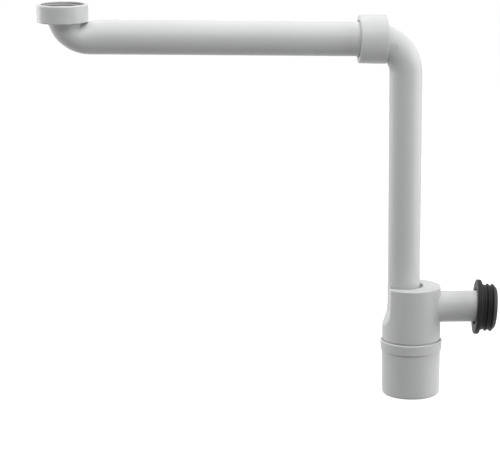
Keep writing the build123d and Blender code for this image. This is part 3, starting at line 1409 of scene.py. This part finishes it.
@dataclass
class OutletSleeve:
    """Rubber sleeve on the outlet, with its flange and its ribs."""

    layout: Layout
    grip: float = 18.0
    nose_lip: float = 2.2
    tilt: float = 4.0
    sag: float = 1.2
    flange_radius: float = 27.2
    flange_width: float = 4.4
    near_round: float = 1.0
    far_round: float = 1.4
    shoulder_radius: float = 22.9
    shoulder_rise: float = 1.0
    shoulder_fall: float = 0.8
    shoulder_end: float = 7.0
    barrel_radius: float = 22.2
    nose_radius: float = 19.6
    nose_round: float = 1.0
    throat_radius: float = 17.8
    throat_depth: float = 4.0
    bore_radius: float = 13.5
    rib_radius: float = 23.6
    rib_count: int = 2
    first_rib: float = 10.6
    rib_pitch: float = 5.0
    rib_land: float = 1.0
    rib_slope: float = 1.2
    rib_soft: float = 0.45

    def axis(self) -> TurningAxis:
        """Finds the axis of the soft sleeve, which sags and hangs a little from its spigot.

        Returns:
            The axis, with heights from the flange's near face outwards.
        """
        spigot = outlet_axis(self.layout)
        out = np.array(spigot.along)
        tilt, half = math.radians(self.tilt), self.grip / 2
        along = out * math.cos(tilt) - np.array((0.0, 0.0, math.sin(tilt)))
        middle = np.array(spigot.origin) + out * (self.layout.outlet_length - half)
        origin = middle - along * half - np.array((0.0, 0.0, self.sag))
        return TurningAxis(tuple(origin), tuple(along), spigot.side)

    def sleeve(self) -> Turning:
        """Lays out the sleeve with its ribs and, on the spigot's own axis, its bore.

        Returns:
            The sleeve.
        """
        nose = self.grip + self.nose_lip
        last = self.rib_count - 1
        ribs = []
        for number in range(self.rib_count):
            rise = self.first_rib + number * self.rib_pitch
            land_end = rise + self.rib_land
            ribs += [
                Corner(self.barrel_radius, rise - self.rib_slope, 0.5),
                Corner(self.rib_radius, rise, self.rib_soft),
                Corner(self.rib_radius, land_end, self.rib_soft),
            ]
            if number < last:
                ribs.append(Corner(self.barrel_radius, land_end + self.rib_slope, 0.5))
        bore = [
            Corner(radius, height, 0.1, core=True)
            for radius, height in (
                (self.bore_radius, nose),
                (self.bore_radius, self.grip),
                (self.layout.spigot_radius, self.grip),
                (self.layout.spigot_radius, self.throat_depth),
            )
        ]
        corners = [
            Corner(self.throat_radius, 0.0, 0.4),
            Corner(self.flange_radius, 0.0, self.near_round),
            Corner(self.flange_radius, self.flange_width, self.far_round),
            Corner(self.shoulder_radius, self.flange_width + self.shoulder_rise, 0.4),
            Corner(self.shoulder_radius, self.shoulder_end, 0.4),
            Corner(self.barrel_radius, self.shoulder_end + self.shoulder_fall, 0.5),
            *ribs,
            Corner(self.nose_radius, nose, self.nose_round),
            *bore,
            Corner(self.throat_radius, self.throat_depth, 0.3),
        ]
        core = outlet_axis(self.layout)
        return Turning(
            "outlet_ribbed_sleeve", self.axis(), corners, columns=220, core=core
        )


@dataclass(frozen=True)
class Softbox:
    """Square or oblong lamp of the studio.

    Attributes:
        name: Name of the lamp.
        place: Where it stands, in metres.
        width: Its width, in metres.
        height: Its height, in metres.
        watts: Its power.
        aim: Point that it faces, in metres.
    """

    name: str
    place: tuple[float, float, float]
    width: float
    height: float
    watts: float
    aim: tuple[float, float, float] = (0.17, 0.0, -0.15)

    def build(self) -> None:
        """Makes the lamp."""
        lamp = bpy.data.lights.new(self.name, "AREA")
        lamp.shape = "RECTANGLE"
        lamp.size = self.width
        lamp.size_y = self.height
        lamp.energy = self.watts
        stand = bpy.data.objects.new(self.name, lamp)
        stand.location = self.place
        facing = Vector(self.aim) - Vector(self.place)
        stand.rotation_euler = facing.to_track_quat("-Z", "Y").to_euler()
        bpy.context.scene.collection.objects.link(stand)


@dataclass
class Studio:
    """Pale floor, white surroundings and soft lamps."""

    floor_z: float = -0.56
    floor_half: float = 14.0
    floor_colour: str = "#A6A6A6"
    glow_x: float = 0.22
    glow_near: float = 0.8
    glow_far: float = 1.0
    glow_start: float = 0.35
    glow_end: float = 0.9
    lamps: list[Softbox] = field(
        default_factory=lambda: [
            Softbox("top_softbox", (0.17, 0.0, 1.3), 1.8, 1.2, 10.3),
            Softbox("top_far_softbox", (0.17, 0.8, 1.1), 1.8, 0.8, 4.8),
            Softbox("top_near_softbox", (0.17, -0.9, 1.1), 1.8, 0.8, 10.0),
            Softbox("front_high_softbox", (0.1, -2.0, 1.2), 0.8, 0.8, 3.7),
            Softbox("right_softbox", (1.9, -0.1, 0.0), 1.8, 1.4, 20.0),
            Softbox("left_softbox", (-1.6, 0.0, 0.0), 0.8, 1.4, 3.6),
            Softbox("left_far_softbox", (-1.2, 1.0, 0.0), 0.8, 1.4, 11.4),
        ]
    )

    def floor(self) -> bpy.types.Object:
        """Makes the floor, which keeps the object's shadow and fades to white further out.

        Returns:
            The floor.
        """
        h, z = self.floor_half, self.floor_z
        mesh = bpy.data.meshes.new("studio_floor")
        mesh.from_pydata([(-h, -h, z), (h, -h, z), (h, h, z), (-h, h, z)], [], [(0, 1, 2, 3)])
        mesh.materials.append(self.floor_material())
        floor = bpy.data.objects.new("studio_floor", mesh)
        bpy.context.scene.collection.objects.link(floor)
        return floor

    def seen_directly(self, tree: bpy.types.NodeTree) -> bpy.types.NodeSocket:
        """Adds the nodes that single out rays from the camera, a mirror or a clear piece.

        Args:
            tree: Node tree that gets them.

        Returns:
            Socket that is 1 for such rays and 0 for the others.
        """
        path = add(tree, "ShaderNodeLightPath").outputs
        seen = path["Is Camera Ray"]
        for kind in ("Is Glossy Ray", "Is Transmission Ray"):
            links = {0: seen, 1: path[kind]}
            seen = add(tree, "ShaderNodeMath", links=links, operation="MAXIMUM").outputs[0]
        return seen

    def floor_material(self) -> bpy.types.Material:
        """Makes the floor's matt paint, with a glow that only direct rays see.

        Returns:
            The material.
        """
        made = bpy.data.materials.new("matt_studio_paint")
        made.use_nodes = True
        tree = made.node_tree
        tree.nodes.clear()
        place = add(tree, "ShaderNodeTexCoord").outputs["Object"]
        centred = add(
            tree,
            "ShaderNodeVectorMath",
            {1: (self.glow_x, 0.0, self.floor_z)},
            {0: place},
            operation="SUBTRACT",
        )
        away = add(
            tree,
            "ShaderNodeVectorMath",
            links={0: centred.outputs[0]},
            operation="LENGTH",
        )
        glow = add(
            tree,
            "ShaderNodeMapRange",
            {
                "From Min": self.glow_start,
                "From Max": self.glow_end,
                "To Min": self.glow_near,
                "To Max": self.glow_far,
            },
            {"Value": away.outputs["Value"]},
            interpolation_type="SMOOTHSTEP",
        )
        strength = add(
            tree,
            "ShaderNodeMath",
            links={0: glow.outputs["Result"], 1: self.seen_directly(tree)},
            operation="MULTIPLY",
        )
        light = add(
            tree,
            "ShaderNodeEmission",
            {"Color": (1.0, 1.0, 1.0, 1.0)},
            {"Strength": strength.outputs[0]},
        )
        paint = add(
            tree, "ShaderNodeBsdfDiffuse", {"Color": linear(self.floor_colour)}
        )
        both = add(
            tree,
            "ShaderNodeAddShader",
            links={0: light.outputs[0], 1: paint.outputs[0]},
        )
        add(tree, "ShaderNodeOutputMaterial", links={"Surface": both.outputs[0]})
        return made

    def surroundings(self) -> None:
        """Makes the world, white for direct and mirrored rays and dark for all others."""
        world = bpy.data.worlds.new("studio_surroundings")
        world.use_nodes = True
        tree = world.node_tree
        tree.nodes.clear()
        sky = add(
            tree,
            "ShaderNodeBackground",
            {"Color": (1.0, 1.0, 1.0, 1.0)},
            {"Strength": self.seen_directly(tree)},
        )
        add(tree, "ShaderNodeOutputWorld", links={"Surface": sky.outputs[0]})
        bpy.context.scene.world = world

    def build(self) -> None:
        """Sets up the floor, the surroundings and the lamps."""
        self.floor()
        self.surroundings()
        for lamp in self.lamps:
            lamp.build()
            log.info("%s gives %.1f watts", lamp.name, lamp.watts)
        bpy.context.scene.view_settings.view_transform = "Standard"


@dataclass(frozen=True)
class Viewpoint:
    """Camera at the photograph's viewing angle.

    Attributes:
        place_mm: Where it stands.
        yaw: Radians to the right of +Y.
        pitch: Radians below the horizon.
        roll: Radians about its own line of sight.
        focal_px: Focal length in pixels of the picture.
        centre_px: Pixel where its line of sight meets the picture.
        film_mm: Width of its film.
    """

    place_mm: tuple[float, float, float] = (21.33, -2015.71, 220.24)
    yaw: float = 0.085443
    pitch: float = 0.208933
    roll: float = -0.0041162
    focal_px: float = 2103.2
    centre_px: tuple[float, float] = (265.48, 213.22)
    film_mm: float = 36.0

    def build(self) -> None:
        """Makes the camera and sets it as the scene's."""
        ahead = Vector(
            (
                math.sin(self.yaw) * math.cos(self.pitch),
                math.cos(self.yaw) * math.cos(self.pitch),
                -math.sin(self.pitch),
            )
        )
        level = Vector((math.cos(self.yaw), -math.sin(self.yaw), 0.0))
        upright = level.cross(ahead)
        right = math.cos(self.roll) * level + math.sin(self.roll) * upright
        up = math.cos(self.roll) * upright - math.sin(self.roll) * level
        lens = bpy.data.cameras.new("camera")
        lens.sensor_width = self.film_mm
        lens.lens = self.focal_px / RENDER_WIDTH * self.film_mm
        lens.shift_x = (RENDER_WIDTH / 2 - self.centre_px[0]) / RENDER_WIDTH
        lens.shift_y = (self.centre_px[1] - RENDER_HEIGHT / 2) / RENDER_WIDTH
        lens.clip_end = 100.0
        camera = bpy.data.objects.new("camera", lens)
        turn = Matrix((right, up, -ahead)).transposed()
        camera.matrix_world = Matrix.Translation(Vector(self.place_mm) * MM) @ turn.to_4x4()
        bpy.context.scene.collection.objects.link(camera)
        bpy.context.scene.camera = camera


@dataclass
class SinkTrap:
    """The whole trap: the CAD pieces with their finishes and the pieces made here."""

    nodes: dict[str, bpy.types.Object]
    layout: Layout = field(default_factory=Layout)
    finishes: dict[Slot, bpy.types.Material] = field(default_factory=dict)

    def mix_finishes(self) -> None:
        """Makes one material for each slot."""
        seal_axis_tilt = math.radians(90.0) + self.layout.slope
        self.finishes = {
            Slot.NUT: MouldedPlastic("moulded_nut_polypropylene").material(),
            Slot.PIPE: MouldedPlastic("moulded_pipe_polypropylene").material(),
            Slot.BODY: MouldedPlastic("moulded_body_polypropylene").material(),
            Slot.CUP: MouldedPlastic("moulded_cup_polypropylene").material(),
            Slot.RING: MouldedPlastic("moulded_slip_ring_polyethylene").material(),
            Slot.SEAL: MouldedRubber("moulded_seal_rubber").material(),
            Slot.SLEEVE: MouldedRubber(
                "moulded_sleeve_rubber", tilt=seal_axis_tilt
            ).material(),
        }

    def dress_cad(self) -> None:
        """Gives the CAD pieces whose shape stays their procedural finishes."""
        for name in ("inlet_pipe", "drop_pipe"):
            for holder in self.nodes[name].material_slots:
                holder.material = self.finishes[Slot.PIPE]
            log.info("%s keeps its CAD shape and takes %s", name, Slot.PIPE.value)

    def build(self) -> None:
        """Builds and hands over every piece in order."""
        self.mix_finishes()
        self.dress_cad()
        inlet, joint = InletUnion(), CouplingJoint(self.layout)
        trap, socket_ring = TrapBody(self.layout), SocketRing(self.layout)
        outlet, bottom = OutletSleeve(self.layout), BottomCup(self.layout)
        pieces = (
            (inlet.nut(), Rides.INLET_UNION, Slot.NUT, "inlet_nut"),
            (inlet.gasket(), Rides.ARM, Slot.SEAL, "inlet_gasket"),
            (joint.nut(), Rides.COUPLING, Slot.NUT, "coupling_nut"),
            (joint.hub_thread(), Rides.DROP, Slot.PIPE),
            (joint.slip_ring(), Rides.SLIP_RING, Slot.RING, "coupling_slip_ring"),
            (joint.seal(), Rides.ARM_RING, Slot.SEAL, "coupling_seal"),
            (trap.body(), Rides.TRAP, Slot.BODY, "trap_body"),
            (trap.spigot(), Rides.TRAP, Slot.BODY),
            (socket_ring.ring(), Rides.SOCKET_RING, Slot.SEAL, "socket_seal"),
            (outlet.sleeve(), Rides.TRAP, Slot.SLEEVE, "outlet_sleeve"),
            (bottom.cup(), Rides.BOTTOM_CUP, Slot.CUP, "cup"),
            (bottom.neck_thread(), Rides.TRAP, Slot.BODY),
            (bottom.seal(), Rides.CUP_RING, Slot.SEAL, "cup_seal"),
        )
        for turning, body, slot, *stands_for in pieces:
            hand_over(turning.build(self.finishes[slot]), body, slot, *stands_for)


def main() -> None:
    """Loads the frame and builds the trap, the studio and the camera round it."""
    logging.basicConfig(level=logging.INFO, format="%(name)s: %(message)s")
    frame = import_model()
    SinkTrap(frame["nodes"]).build()
    Studio().build()
    Viewpoint().build()


if __name__ == "__main__":
    main()
